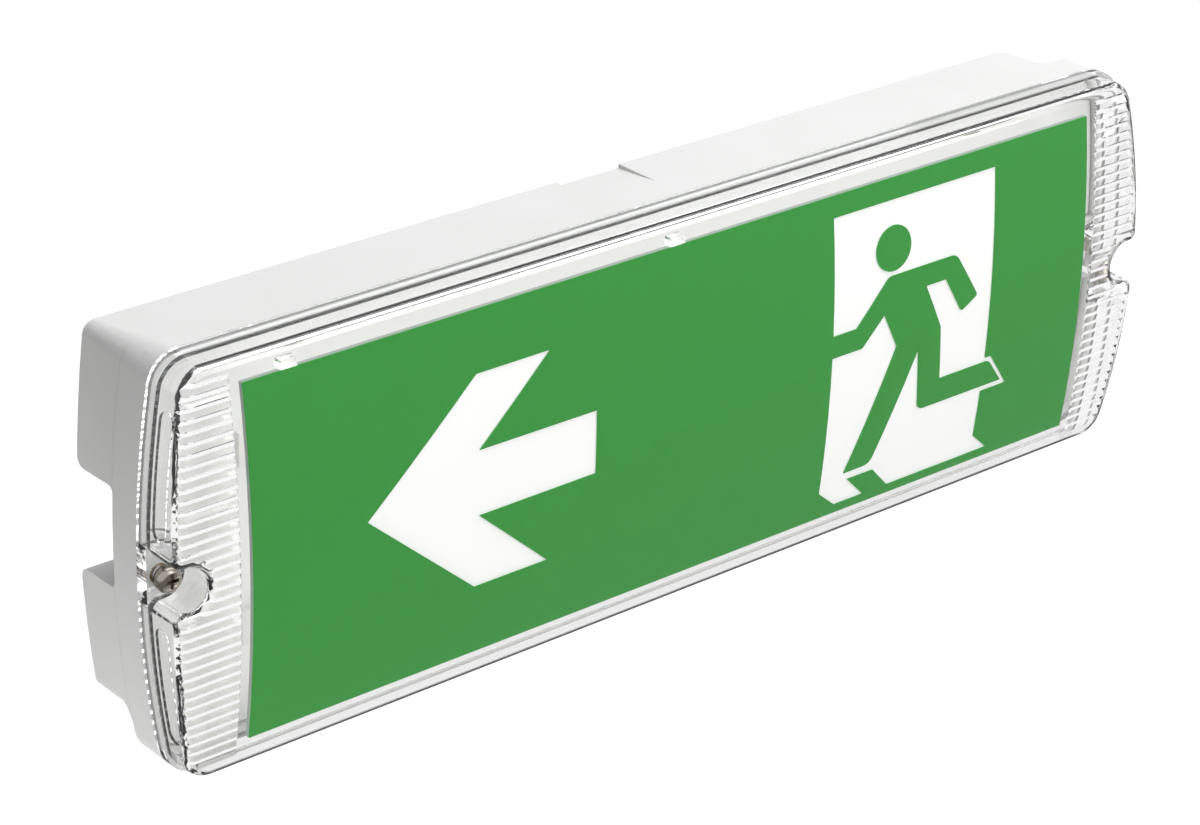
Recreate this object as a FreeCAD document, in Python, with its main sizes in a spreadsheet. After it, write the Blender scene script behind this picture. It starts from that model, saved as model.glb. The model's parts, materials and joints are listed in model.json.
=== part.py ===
"""Weatherproof emergency exit light: a shallow wall bulkhead with a clear snap-bowed cover.

The housing is a moulded tray with a hollow back box. A clear cover with a green exit legend
closes its front on a tongue-and-groove seal and is held by one captive screw at each end.
Behind the legend a white tray carries two light strips, and behind the tray lie the battery,
the control board and the mains terminals.

Frame: origin at the middle of the four wall fixings, on the wall plane. +X runs along the
length, +Z is up and the light faces -Y. A depth is a distance in front of the wall, so a
point at depth d has y = -d. All sizes are millimetres.
"""
import FreeCAD, Part
import math
import os
import re

import Sketcher

SIZES = [
    # overall form
    ("overall_length", 360.0, "end to end at mid height"),
    ("overall_height", 121.0, "top to bottom"),
    ("end_bow", 6.1, "how far each end curves out over the height"),
    ("corner_radius", 9.5, "corners at the front rim"),
    ("seam_depth", 26.6, "wall to the joint between housing and cover"),
    ("crest_depth", 43.0, "wall to the middle of the cover's bowed front"),
    ("front_radius", 380.0, "bow of the cover's front about the length"),
    # housing
    ("box_depth", 16.0, "depth of the back box"),
    ("box_right_inset", 22.7, "step from the right end to the back box"),
    ("box_bottom_inset", 14.1, "step from the bottom to the back box"),
    ("box_corner_radius", 4.0, "corners of the back box at the wall"),
    ("box_end_bow", 3.7, "how far the back box's left end curves out at the wall"),
    ("root_radius", 5.0, "right side of the back box, at the wall and at its root"),
    ("wall", 2.4, "housing wall"),
    ("rim_width", 5.2, "front rim with the seal groove"),
    ("groove_inset", 1.5, "outer wall of the groove"),
    ("groove_width", 2.1, "seal groove"),
    ("groove_depth", 5.8, "seal groove"),
    ("recess_length", 32.0, "cable recess in the left end"),
    ("recess_bottom", -8.4, "lower wall of the cable recess"),
    ("recess_top", 20.9, "upper wall of the cable recess"),
    ("recess_radius", 2.0, "inner corners of the cable recess"),
    ("recess_mouth_radius", 3.0, "mouth of the cable recess at the wall"),
    ("flat_left", -21.0, "cable flat in the top edge, left side"),
    ("flat_width", 23.0, "cable flat"),
    ("flat_drop", 1.2, "cable flat at the wall"),
    # cover screws
    ("screw_inset", 5.4, "screw axis to the end of the light"),
    ("jog_radius", 5.0, "path of the rim round each screw"),
    ("mouth_radius", 4.5, "rounding of the mouth of the screw recess"),
    ("screw_radius", 1.95, "shank"),
    ("screw_head_radius", 3.7, "pan head"),
    ("screw_head_height", 2.9, "pan head"),
    ("screw_length", 14.2, "under the head"),
    ("screw_travel", 12.0, "how far a captive screw backs out"),
    ("screw_hole_radius", 2.25, "clearance hole in the cover"),
    ("seal_washer_radius", 3.4, "washer under the head"),
    ("seal_washer_thickness", 0.8, "washer under the head"),
    ("insert_radius", 2.8, "brass insert"),
    ("insert_length", 9.2, "brass insert"),
    ("insert_depth", 26.2, "front end of the brass insert"),
    ("fit_gap", 0.05, "gap of a fit"),
    # cover
    ("ledge_depth", 31.0, "front of the cover's rim and of the screw ledge"),
    ("cover_step", 1.3, "rim edge to the cover's side wall"),
    ("cover_wall", 2.0, "side walls of the cover"),
    ("cover_front", 1.8, "front wall of the cover"),
    ("cover_edge_radius", 3.0, "rounding of the cover's front edge"),
    ("tongue_inset", 1.8, "tongue behind the rim"),
    ("tongue_width", 1.5, "tongue behind the rim"),
    ("tongue_length", 4.0, "tongue behind the rim"),
    ("window_start", 12.5, "end-wall pocket, nearest the screw"),
    ("window_end", 48.0, "end-wall pocket, nearest the corner"),
    ("window_back", 31.9, "end-wall pocket, depth of its back edge"),
    ("window_height", 5.7, "end-wall pocket, across"),
    ("window_sink", 0.8, "end-wall pocket, into the wall"),
    ("rib_pitch", 3.0, "light-spreading ribs"),
    ("rib_height", 1.1, "light-spreading ribs"),
    ("rib_edge", 6.5, "ribbed band to the top and bottom"),
    ("rib_reach", "=overall_height / 2 - rib_edge", "half height of the ribbed band"),
    # legend
    ("sign_end", 25.5, "legend to the ends of the light"),
    ("sign_edge", 9.0, "legend to the top and bottom of the light"),
    ("sign_length", "=overall_length - 2 * sign_end", "legend"),
    ("sign_height", "=overall_height - 2 * sign_edge", "legend"),
    ("clear_strip", 4.0, "legend to the inner end of the ribs"),
    ("rib_start", "=sign_length / 2 + clear_strip", "inner end of the ribs"),
    ("film_thickness", 0.3, "green film"),
    ("sheet_thickness", 1.2, "opal sheet"),
    ("sign_gap", 0.1, "gap from the cover to the film and from the film to the sheet"),
    ("nib_count", 2, "legend nibs along the top"),
    ("nib_pitch", 131.0, "legend nibs"),
    ("nib_first", -140.0, "legend nibs"),
    ("nib_length", 5.0, "legend nibs"),
    ("nib_width", 2.6, "legend nibs"),
    ("nib_reach", 6.4, "legend nibs, back from the inside of the crest"),
    ("nib_sink", 3.0, "legend nibs, front end behind the inside of the crest"),
    # tray and lights
    ("tray_depth", 23.0, "back of the tray"),
    ("tray_thickness", 1.6, "tray"),
    ("tray_gap", 0.6, "tray to the housing opening"),
    ("tray_lip", 3.0, "turned lip round the tray"),
    ("post_inset", 55.0, "tray posts to the ends of the light"),
    ("post_x", "=overall_length / 2 - post_inset", "tray posts"),
    ("post_z", 40.0, "tray posts"),
    ("post_radius", 4.0, "tray posts"),
    ("tray_screw_radius", 1.45, "tray screw shank"),
    ("tray_screw_length", 9.0, "tray screw under the head"),
    ("strip_end", 32.0, "light strip to the ends of the light"),
    ("strip_length", "=overall_length - 2 * strip_end", "light strip"),
    ("strip_width", 10.0, "light strip"),
    ("strip_thickness", 1.6, "light strip"),
    ("strip_z", 26.0, "light strips above and below the middle"),
    ("led_pitch", 28.0, "light-emitting chips"),
    ("led_inset", 21.0, "strip's end to the first chip, at least"),
    ("led_count", "=floor((strip_length - 2 * led_inset) / led_pitch) + 1", "light-emitting chips on a strip"),
    ("led_length", 3.5, "light-emitting chip"),
    ("led_width", 2.8, "light-emitting chip"),
    ("led_height", 0.8, "light-emitting chip"),
    ("rivet_radius", 1.4, "strip rivets"),
    ("rivet_inset", 7.0, "strip rivets to the strip's ends"),
    ("rivet_x", "=strip_length / 2 - rivet_inset", "strip rivets"),
    # wall fixings and cable entries
    ("fixing_inset", 40.0, "wall fixings to the ends of the light"),
    ("fixing_x", "=overall_length - 2 * fixing_inset", "wall fixing centres along the length"),
    ("fixing_z", 60.0, "wall fixing centres up the wall"),
    ("fixing_radius", 2.4, "wall fixing holes"),
    ("fixing_boss_radius", 6.5, "wall fixing bosses"),
    ("fixing_boss_depth", 5.0, "wall fixing bosses"),
    ("washer_radius", 5.2, "wall fixing washers"),
    ("washer_thickness", 1.2, "wall fixing washers"),
    ("entry_x", -108.0, "rear cable entry"),
    ("entry_z", 20.0, "rear cable entry"),
    ("entry_radius", 9.8, "rear cable entry hole"),
    ("entry_seat", 1.1, "counterbore at the back of the cable entry"),
    ("entry_boss_depth", 4.0, "ring round the cable entry"),
    ("cable_radius", 4.0, "bore of the cable grommet"),
    ("grommet_flange", 2.3, "grommet's flange, beyond the hole"),
    ("grommet_lip", 1.2, "grommet's inner lip, beyond the hole"),
    ("grommet_cap", 1.4, "thickness of the grommet's inner lip"),
    ("grommet_ease", 0.3, "counterbore round the grommet's flange"),
    ("plug_radius", 4.6, "blanked side entry"),
    ("plug_depth", 8.0, "blanked side entry axis"),
    # gear behind the tray
    ("cell_radius", 7.25, "battery cell"),
    ("cell_length", 50.0, "battery cell"),
    ("cell_count", 3, "cells in the stick"),
    ("battery_inset", 20.5, "battery axis to the top of the light"),
    ("battery_z", "=overall_height / 2 - battery_inset", "battery axis"),
    ("battery_depth", 12.0, "battery axis"),
    ("clip_x", 50.0, "battery clips"),
    ("clip_width", 12.0, "battery clips"),
    ("clip_thickness", 1.0, "battery clips"),
    ("board_length", 120.0, "control board"),
    ("board_width", 44.0, "control board"),
    ("board_thickness", 1.6, "control board"),
    ("board_depth", 8.0, "back of the control board"),
    ("board_z", -13.0, "control board centre"),
    ("board_hole_inset", 5.0, "control board fixings"),
    ("board_screw_radius", 1.2, "control board screws"),
    ("button_inset", 20.0, "test button to the board's right end"),
    ("button_x", "=board_length / 2 - button_inset", "test button"),
    ("button_z", 0.0, "test button"),
    ("button_radius", 3.0, "test button"),
    ("button_travel", 1.2, "test button"),
    ("pilot_z", -16.0, "charge indicator"),
    ("pilot_radius", 1.5, "charge indicator"),
    ("switch_height", 6.4, "test switch"),
    ("part_pitch", 10.0, "grid that sizes the pieces on the board"),
    ("pole_pitch", 10.0, "mains terminals"),
    ("terminal_x", -88.0, "mains terminals"),
    ("terminal_z", -14.0, "mains terminals"),
]

doc = FreeCAD.newDocument("exit_light")
sheet = doc.addObject("Spreadsheet::Sheet", "Sizes")
NAMES = {name for name, value, note in SIZES}
parts = []


def fill_sheet():
    """One row for each size: its alias, its value and what it measures."""
    for row, (name, value, note) in enumerate(SIZES, start=1):
        sheet.set(f"A{row}", name)
        sheet.set(f"B{row}", str(value))
        sheet.set(f"C{row}", note)
        sheet.setAlias(f"B{row}", name)
    doc.recompute()


def formula(text):
    """Put the sheet's name before each size in a formula."""
    return re.sub(r"[a-z]\w*", lambda word: "Sizes." * (word.group() in NAMES) + word.group(), str(text))


def size(text):
    """Value of a formula of the sheet's sizes."""
    return float(sheet.evalExpression(formula(text)))


def bind(obj, **formulas):
    """Bind properties to formulas; x, y, z stand for the object's place."""
    for name, text in formulas.items():
        target = f".Placement.Base.{name}" if name in ("x", "y", "z") else name
        obj.setExpression(target, formula(text))


def add_part(obj, label):
    """Name a finished sub-part and keep it for the export."""
    obj.Label = label
    parts.append(obj)
    return obj


# ---- solids placed by depth in front of the wall -------------------------------------------

FACING_OUT = FreeCAD.Rotation(FreeCAD.Vector(1, 0, 0), 90)
ALONG_X = FreeCAD.Rotation(FreeCAD.Vector(0, 1, 0), 90)


def block(name, left, right, back, front, low, high):
    """Box between two x, two depths and two heights."""
    box = doc.addObject("Part::Box", name)
    bind(box, Length=f"({right}) - ({left})", Width=f"({front}) - ({back})", Height=f"({high}) - ({low})")
    bind(box, x=left, y=f"-({front})", z=low)
    return box


def rod(name, x, z, back, front, radius):
    """Round bar that points out of the wall, between two depths."""
    bar = doc.addObject("Part::Cylinder", name)
    bar.Placement.Rotation = FACING_OUT
    bind(bar, Radius=radius, Height=f"({front}) - ({back})", x=x, y=f"-({back})", z=z)
    return bar


def fuse(name, solids):
    joined = doc.addObject("Part::MultiFuse", name)
    joined.Shapes = solids
    joined.Refine = True
    return joined


def cut(name, base, tool):
    result = doc.addObject("Part::Cut", name)
    result.Base = base
    result.Tool = tool
    result.Refine = True
    return result


def common(name, first, second):
    result = doc.addObject("Part::Common", name)
    result.Base = first
    result.Tool = second
    result.Refine = True
    return result


def group(name, solids):
    """Separate like solids kept as one sub-part."""
    compound = doc.addObject("Part::Compound", name)
    compound.Links = solids
    return compound


def rounded(name, base, chosen):
    """Fillet the edges for which chosen(edge) gives a radius, or a radius at each end."""
    doc.recompute()
    edges = []
    for number, edge in enumerate(base.Shape.Edges, start=1):
        radii = chosen(edge)
        if radii:
            edges.append((number, *radii))
    if not edges:
        raise RuntimeError(f"{name}: no edge to round")
    result = doc.addObject("Part::Fillet", name)
    result.Base = base
    result.Edges = edges
    return result


def edge_depths(edge):
    """Depths of an edge's two ends, in its own direction."""
    return [-edge.valueAt(p).y for p in (edge.FirstParameter, edge.LastParameter)]


# ---- outlines in planes parallel to the wall ------------------------------------------------

class Outline:
    """Closed sketch outline, drawn piece by piece the way round, then tied and dimensioned."""

    def __init__(self, name, depth):
        self.sketch = doc.addObject("Sketcher::SketchObject", name)
        self.sketch.Placement.Rotation = FACING_OUT
        bind(self.sketch, y=f"-({depth})")
        self.ends = []

    def line(self, start, end):
        piece = Part.LineSegment(FreeCAD.Vector(*start, 0), FreeCAD.Vector(*end, 0))
        index = self.sketch.addGeometry(piece, False)
        self.ends.append((index, 1, 2))
        return index

    def arc(self, centre, radius, start, end, hollow=False):
        """Arc about centre from start to end; a hollow one is drawn clockwise."""
        angles = [math.atan2(p[1] - centre[1], p[0] - centre[0]) for p in (start, end)]
        if hollow:
            angles.reverse()
        circle = Part.Circle(FreeCAD.Vector(*centre, 0), FreeCAD.Vector(0, 0, 1), radius)
        index = self.sketch.addGeometry(Part.ArcOfCircle(circle, *angles), False)
        self.ends.append((index, 2, 1) if hollow else (index, 1, 2))
        return index

    def tie(self):
        """Make every piece tangent to the next at their shared point."""
        for (piece, _, end), (follower, start, _) in zip(self.ends, self.ends[1:] + self.ends[:1]):
            self.sketch.addConstraint(Sketcher.Constraint("Tangent", piece, end, follower, start))

    def dimension(self, kind, *references, value):
        number = self.sketch.addConstraint(Sketcher.Constraint(kind, *references, size(value)))
        self.sketch.setExpression(f"Constraints[{number}]", formula(value))


END_RADIUS = "((overall_height^2 / 4 + end_bow^2) / (2 * end_bow))"
HALF_LENGTH = "(overall_length / 2)"
HALF_HEIGHT = "(overall_height / 2)"
SCREW_X = "(overall_length / 2 - screw_inset)"


def rim_outline(name, depth, jogged):
    """The light's outline: straight top and bottom, bowed ends and round corners.

    A jogged outline also turns in round the screw at the middle of each end.
    """
    bow, half_length, half_height = size(END_RADIUS), size(HALF_LENGTH), size(HALF_HEIGHT)
    corner, mouth, jog = size("corner_radius"), size("mouth_radius"), size("jog_radius")
    screw_x = size(SCREW_X)
    bow_x = half_length - bow
    corner_z = half_height - corner
    corner_x = bow_x + math.sqrt((bow - corner) ** 2 - corner_z ** 2)
    tangent = (bow_x + (corner_x - bow_x) * bow / (bow - corner), corner_z * bow / (bow - corner))
    span = screw_x - bow_x
    mouth_x = bow_x + (span ** 2 + (bow - mouth) ** 2 - (jog + mouth) ** 2) / (2 * span)
    mouth_z = math.sqrt((bow - mouth) ** 2 - (mouth_x - bow_x) ** 2)
    on_bow = (bow_x + (mouth_x - bow_x) * bow / (bow - mouth), mouth_z * bow / (bow - mouth))
    share = jog / (jog + mouth)
    on_jog = (screw_x + (mouth_x - screw_x) * share, mouth_z * share)

    outline = Outline(name, depth)
    bows, corners, mouths, jogs = [], [], [], []
    for side in (1, -1):
        def turned(point):
            return (side * point[0], side * point[1])

        def down(point):
            return (side * point[0], -side * point[1])

        line = outline.line(down((-corner_x, half_height)), down((corner_x, half_height)))
        outline.sketch.addConstraint(Sketcher.Constraint("Horizontal", line))
        if side == 1:
            outline.dimension("DistanceY", line, 1, -1, 1, value=HALF_HEIGHT)
        else:
            outline.dimension("DistanceY", -1, 1, line, 1, value=HALF_HEIGHT)
        corners.append(outline.arc(down((corner_x, corner_z)), corner,
                                   down((corner_x, half_height)), down(tangent)))
        if jogged:
            bows.append(outline.arc((side * bow_x, 0), bow, down(tangent), down(on_bow)))
            mouths.append(outline.arc(down((mouth_x, mouth_z)), mouth, down(on_bow), down(on_jog)))
            jogs.append(outline.arc((side * screw_x, 0), jog, down(on_jog), turned(on_jog), hollow=True))
            mouths.append(outline.arc(turned((mouth_x, mouth_z)), mouth, turned(on_jog), turned(on_bow)))
            bows.append(outline.arc((side * bow_x, 0), bow, turned(on_bow), turned(tangent)))
        else:
            bows.append(outline.arc((side * bow_x, 0), bow, down(tangent), turned(tangent)))
        corners.append(outline.arc(turned((corner_x, corner_z)), corner,
                                   turned(tangent), turned((corner_x, half_height))))
    outline.tie()
    for arcs, radius in ((bows, END_RADIUS), (corners, "corner_radius"), (mouths, "mouth_radius"),
                         (jogs, "jog_radius")):
        for arc in arcs:
            outline.dimension("Radius", arc, value=radius)
    for arcs, reach, outward in ((bows, f"{END_RADIUS} - {HALF_LENGTH}", False), (jogs, SCREW_X, True)):
        for place, arc in enumerate(arcs):
            outline.sketch.addConstraint(Sketcher.Constraint("PointOnObject", arc, 3, -1))
            on_right = place < len(arcs) / 2
            ends = (-1, 1, arc, 3) if on_right == outward else (arc, 3, -1, 1)
            outline.dimension("DistanceX", *ends, value=reach)
    return outline.sketch


def inset(name, source, distance):
    """The outline moved inwards by a distance."""
    moved = doc.addObject("Part::Offset2D", name)
    moved.Source = source
    moved.Fill = False
    bind(moved, Value=f"-({distance})")
    return moved


def extrude(name, source, length, backwards=False):
    """Solid drawn out from an outline, forwards unless told otherwise."""
    solid = doc.addObject("Part::Extrusion", name)
    solid.Base = source
    solid.DirMode = "Normal"
    solid.Solid = True
    solid.Reversed = backwards
    bind(solid, LengthFwd=length)
    return solid


def rim_solid(name, jogged, back, front, distance):
    """Solid inside the rim outline, between two depths, at a distance in from the edge."""
    outline = rim_outline(name + "_outline", back, jogged)
    if distance:
        outline = inset(name + "_inset", outline, distance)
    return extrude(name, outline, f"({front}) - ({back})")


def rim_ring(name, back, front, outer, inner):
    """Ring that follows the jogged rim, between two distances in from the edge."""
    return cut(name, rim_solid(name + "_outer", True, back, front, outer),
               rim_solid(name + "_inner", True, back, front, inner))


def bow_cylinder(name, behind):
    """Long cylinder whose surface is the cover's bowed front, or lies some way behind it."""
    cylinder = doc.addObject("Part::Cylinder", name)
    cylinder.Placement.Rotation = ALONG_X
    bind(cylinder, Radius=f"front_radius - ({behind})", Height="overall_length + 20",
         x="-overall_length / 2 - 10", y="front_radius - crest_depth")
    return cylinder


# ---- housing --------------------------------------------------------------------------------

BOX_RIGHT = "(overall_length / 2 - box_right_inset)"
BOX_LOW = "(-overall_height / 2 + box_bottom_inset)"
BOX_HIGH = "(overall_height / 2)"


def left_bow():
    """Space inside the left end, whose bow is flatter at the wall and centred on the back box."""
    half = f"(({BOX_HIGH} - {BOX_LOW}) / 2)"
    flatter = f"(({half}^2 + box_end_bow^2) / (2 * box_end_bow))"
    arcs = []
    for name, depth, radius, z in (("wall", "0", flatter, f"({BOX_HIGH} + {BOX_LOW}) / 2"),
                                   ("seam", "seam_depth", END_RADIUS, "0")):
        arc = doc.addObject("Part::Circle", f"left_bow_{name}")
        arc.Placement.Rotation = FACING_OUT
        swing = f"asin(overall_height * 0.6 / {radius})"
        bind(arc, Radius=radius, Angle1=f"180 deg - {swing}", Angle2=f"180 deg + {swing}",
             x=f"{radius} - {HALF_LENGTH}", y=f"-({depth})", z=z)
        arcs.append(arc)
    face = doc.addObject("Part::Loft", "left_bow_face")
    face.Sections = arcs
    face.Solid = False
    face.Ruled = True
    space = doc.addObject("Part::Extrusion", "left_bow")
    space.Base = face
    space.DirMode = "Custom"
    space.Dir = FreeCAD.Vector(1, 0, 0)
    bind(space, LengthFwd="overall_length + end_bow")
    return space


def housing_body():
    """Front tray with a back box that is flush at the top and left and stepped in elsewhere."""
    tray = block("tray_block", f"-{HALF_LENGTH} - wall", f"{HALF_LENGTH} + wall", "box_depth", "seam_depth",
                 f"-{HALF_HEIGHT}", HALF_HEIGHT)
    box = block("box_block", f"-{HALF_LENGTH} - wall", BOX_RIGHT, "0", "seam_depth", BOX_LOW, BOX_HIGH)
    body = fuse("housing_blocks", [tray, box])
    right_bow = rod("right_bow", f"{HALF_LENGTH} - {END_RADIUS}", "0", "0", "seam_depth", END_RADIUS)
    body = common("housing_left_bowed", common("housing_right_bowed", body, right_bow), left_bow())
    rim, small, root = size("corner_radius"), size("box_corner_radius"), size("root_radius")
    seam = size("seam_depth")
    box_depth, box_right, box_low = size("box_depth"), size(BOX_RIGHT), size(BOX_LOW)

    def rim_corner(edge):
        """Tray corners; the top left one narrows to the small radius at the wall."""
        depths = edge_depths(edge)
        if max(depths) < seam - 0.01 or abs(depths[0] - depths[1]) < 1:
            return None
        return [rim if depth > box_depth - 0.01 else small for depth in depths]

    def box_edge(edge):
        """The back box's free corners and the inner corner along its foot."""
        depths = edge_depths(edge)
        middle = edge.valueAt((edge.FirstParameter + edge.LastParameter) / 2)
        on_right = abs(middle.x - box_right) < 0.01
        on_bottom = abs(middle.z - box_low) < 0.01
        along_depth = abs(depths[0] - depths[1]) > 1
        if on_right and not along_depth:
            return root, root
        if on_bottom and (along_depth or min(depths) > box_depth - 0.01):
            return small, small
        return None

    return rounded("housing_corners", rounded("housing_box_edges", body, box_edge), rim_corner)


def recess_space(name, margin, back="0", front="box_depth"):
    """Cable recess in the left end, or that space grown by a margin."""
    return block(name, f"-{HALF_LENGTH} - wall", f"-{HALF_LENGTH} + recess_length + ({margin})", back, front,
                 f"recess_bottom - ({margin})", f"recess_top + ({margin})")


def cable_recess():
    """Cable recess with its inner corners and its mouth at the wall rounded."""
    inner = rounded("recess_rounded", recess_space("recess", "0"), recess_inner_corner)
    outside = recess_space("recess_outside", "3 * recess_mouth_radius", "0 - wall", "0")
    return rounded("recess_flared", fuse("recess_and_outside", [inner, outside]), recess_mouth)


def housing_hollow():
    """Inside of the tray and of the back box, clear of the cable recess."""
    front = rim_solid("hollow_front", True, "box_depth + wall", "seam_depth + 1", "rim_width")
    back = block("hollow_box", f"-{HALF_LENGTH} + wall + end_bow", f"{BOX_RIGHT} - wall", "wall",
                 "box_depth + wall", f"{BOX_LOW} + wall", f"{BOX_HIGH} - rim_width")
    kept = recess_space("recess_walls", "wall", "0", "box_depth + wall")
    return fuse("housing_hollow", [front, cut("hollow_back", back, kept)])


def each_fixing():
    """Corner signs of a four-hole pattern, with a name for each."""
    return [(f"{side}_{level}", x, z) for side, x in (("left", -1), ("right", 1))
            for level, z in (("low", -1), ("high", 1))]


def make_housing():
    """One moulding: tray, back box, seal groove, posts and bosses, holes and cable recess."""
    shell = cut("housing_shell", housing_body(), housing_hollow())
    added, removed = [], []
    removed.append(cable_recess())
    removed.append(rim_ring("seal_groove", "seam_depth - groove_depth", "seam_depth + 1", "groove_inset",
                            "groove_inset + groove_width"))
    for name, x, z in each_fixing():
        place = (f"{x} * fixing_x / 2", f"{z} * fixing_z / 2")
        added.append(rod(f"fixing_boss_{name}", *place, "wall / 2", "fixing_boss_depth",
                         "fixing_boss_radius"))
        removed.append(rod(f"fixing_hole_{name}", *place, "0 - 1", "fixing_boss_depth + 1", "fixing_radius"))
        place = (f"{x} * post_x", f"{z} * post_z")
        added.append(rod(f"tray_post_{name}", *place, "wall / 2", "tray_depth", "post_radius"))
        removed.append(rod(f"tray_post_hole_{name}", *place, "tray_depth - tray_screw_length", "tray_depth + 1",
                           "tray_screw_radius + fit_gap"))
        place = (f"{x} * (board_length / 2 - board_hole_inset)",
                 f"board_z + {z} * (board_width / 2 - board_hole_inset)")
        added.append(rod(f"board_post_{name}", *place, "wall / 2", "board_depth", "post_radius - 1"))
        removed.append(rod(f"board_post_hole_{name}", *place, "wall", "board_depth + 1",
                           "board_screw_radius + fit_gap"))
    for side, name in ((-1, "left"), (1, "right")):
        removed.append(rod(f"insert_hole_{name}", f"{side} * {SCREW_X}", "0",
                           "insert_depth - insert_length - 0.5", "seam_depth + 1", "insert_radius + fit_gap"))
    added.append(rod("entry_ring", "entry_x", "entry_z", "wall / 2", "entry_boss_depth", "entry_radius + 4"))
    removed.append(rod("entry_hole", "entry_x", "entry_z", "0 - 1", "entry_boss_depth + 1", "entry_radius"))
    removed.append(rod("entry_counterbore", "entry_x", "entry_z", "0 - 1", "entry_seat",
                       "entry_radius + grommet_flange + grommet_ease"))
    removed.append(side_hole("side_entry_hole", "plug_radius"))
    removed.append(cable_flat())
    whole = fuse("housing_whole", [shell, *added])
    return add_part(cut("housing_cut", whole, fuse("housing_openings", removed)), "base_housing")


def recess_inner_corner(edge):
    """Inner corners of the cable recess, along its floor and its end."""
    depths = edge_depths(edge)
    middle = edge.valueAt((edge.FirstParameter + edge.LastParameter) / 2)
    inner_end = -size(HALF_LENGTH) + size("recess_length")
    at_end = abs(middle.x - inner_end) < 0.01
    on_floor = abs(-middle.y - size("box_depth")) < 0.01
    if (at_end and abs(depths[0] - depths[1]) > 1) or (on_floor and middle.x > -size(HALF_LENGTH)):
        return size("recess_radius"), size("recess_radius")
    return None


def recess_mouth(edge):
    """Edges of the cable recess's mouth, in the wall plane."""
    low, high, margin = size("recess_bottom"), size("recess_top"), size("recess_mouth_radius")
    middle = edge.valueAt((edge.FirstParameter + edge.LastParameter) / 2)
    at_wall = max(abs(depth) for depth in edge_depths(edge)) < 0.01
    inside = low - margin < middle.z < high + margin
    inner_end = size(f"recess_length - {HALF_LENGTH}")
    if at_wall and inside and -size(HALF_LENGTH) < middle.x < inner_end + margin:
        return margin, margin
    return None


def side_hole(name, radius):
    """Round hole through the inner end of the cable recess, along the length."""
    hole = doc.addObject("Part::Cylinder", name)
    hole.Placement.Rotation = ALONG_X
    bind(hole, Radius=radius, Height="wall + 2", x=f"-{HALF_LENGTH} + recess_length - 1", y="-plug_depth",
         z="(recess_top + recess_bottom) / 2")
    return hole


def cable_flat():
    """Shallow wedge taken off the top edge, deepest at the wall, for a cable from above."""
    wedge = doc.addObject("Part::Wedge", "cable_flat")
    bind(wedge, Xmin="0", Xmax="flat_width", X2min="0", X2max="flat_width", Ymin="-box_depth", Ymax="0",
         Zmin="0", Zmax="1", Z2min="0 - flat_drop", Z2max="1", x="flat_left", z=HALF_HEIGHT)
    return wedge


# ---- turned and padded bodies ---------------------------------------------------------------

def new_body(name, **place):
    """Empty body whose own y axis points into the wall."""
    body = doc.addObject("PartDesign::Body", name)
    bind(body, **place)
    return body


def body_sketch(body, name, role, lift=None):
    """Sketch on one of the body's own planes; lift moves it along the plane's normal."""
    sketch = body.newObject("Sketcher::SketchObject", name)
    plane = next(item for item in body.Origin.OriginFeatures if item.Role == role)
    sketch.AttachmentSupport = [(plane, "")]
    sketch.MapMode = "FlatFace"
    if lift:
        sketch.setExpression(".AttachmentOffset.Base.z", formula(lift))
    return sketch


def pin_point(sketch, index, point, place):
    """Hold a sketch point at two bound distances from the sketch's origin."""
    for kind, axis, text in (("DistanceX", -2, place[0]), ("DistanceY", -1, place[1])):
        value = size(text)
        if abs(value) < 1e-9:
            sketch.addConstraint(Sketcher.Constraint("PointOnObject", index, point, axis))
            continue
        ends = (-1, 1, index, point) if value > 0 else (index, point, -1, 1)
        number = sketch.addConstraint(Sketcher.Constraint(kind, *ends, abs(value)))
        sketch.setExpression(f"Constraints[{number}]", formula(text if value > 0 else f"-({text})"))


def polygon(sketch, corners):
    """Closed outline through corners given as pairs of formulas."""
    spots = [FreeCAD.Vector(size(x), size(y), 0) for x, y in corners]
    lines = [sketch.addGeometry(Part.LineSegment(start, end), False)
             for start, end in zip(spots, spots[1:] + spots[:1])]
    for line, follower in zip(lines, lines[1:] + lines[:1]):
        sketch.addConstraint(Sketcher.Constraint("Coincident", line, 2, follower, 1))
    for line, corner in zip(lines, corners):
        pin_point(sketch, line, 1, corner)


def hole(sketch, x, y, radius):
    """Circle at a bound place with a bound radius."""
    centre = FreeCAD.Vector(size(x), size(y), 0)
    circle = sketch.addGeometry(Part.Circle(centre, FreeCAD.Vector(0, 0, 1), size(radius)), False)
    pin_point(sketch, circle, 3, (x, y))
    number = sketch.addConstraint(Sketcher.Constraint("Radius", circle, size(radius)))
    sketch.setExpression(f"Constraints[{number}]", formula(radius))


def turned(name, profile, along_x=False, **place):
    """Body turned from pairs of (radius, distance forwards), or of (distance, radius) along x."""
    body = new_body(name, **place)
    sketch = body_sketch(body, name + "_profile", "XY_Plane")
    polygon(sketch, profile if along_x else [(radius, f"-({forward})") for radius, forward in profile])
    turn = body.newObject("PartDesign::Revolution", name + "_turn")
    turn.Profile = sketch
    turn.ReferenceAxis = (sketch, ["H_Axis" if along_x else "V_Axis"])
    turn.Angle = 360
    return body


def plate(name, length, height, thickness, holes=(), **place):
    """Flat body parallel to the wall, centred on its place, with round holes (x, z, radius)."""
    body = new_body(name, **place)
    sketch = body_sketch(body, name + "_outline", "XZ_Plane")
    polygon(sketch, [(f"-({length}) / 2", f"-({height}) / 2"), (f"({length}) / 2", f"-({height}) / 2"),
                     (f"({length}) / 2", f"({height}) / 2"), (f"-({length}) / 2", f"({height}) / 2")])
    for x, z, radius in holes:
        hole(sketch, x, z, radius)
    pad = body.newObject("PartDesign::Pad", name + "_pad")
    pad.Profile = sketch
    bind(pad, Length=thickness)
    return body


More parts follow.
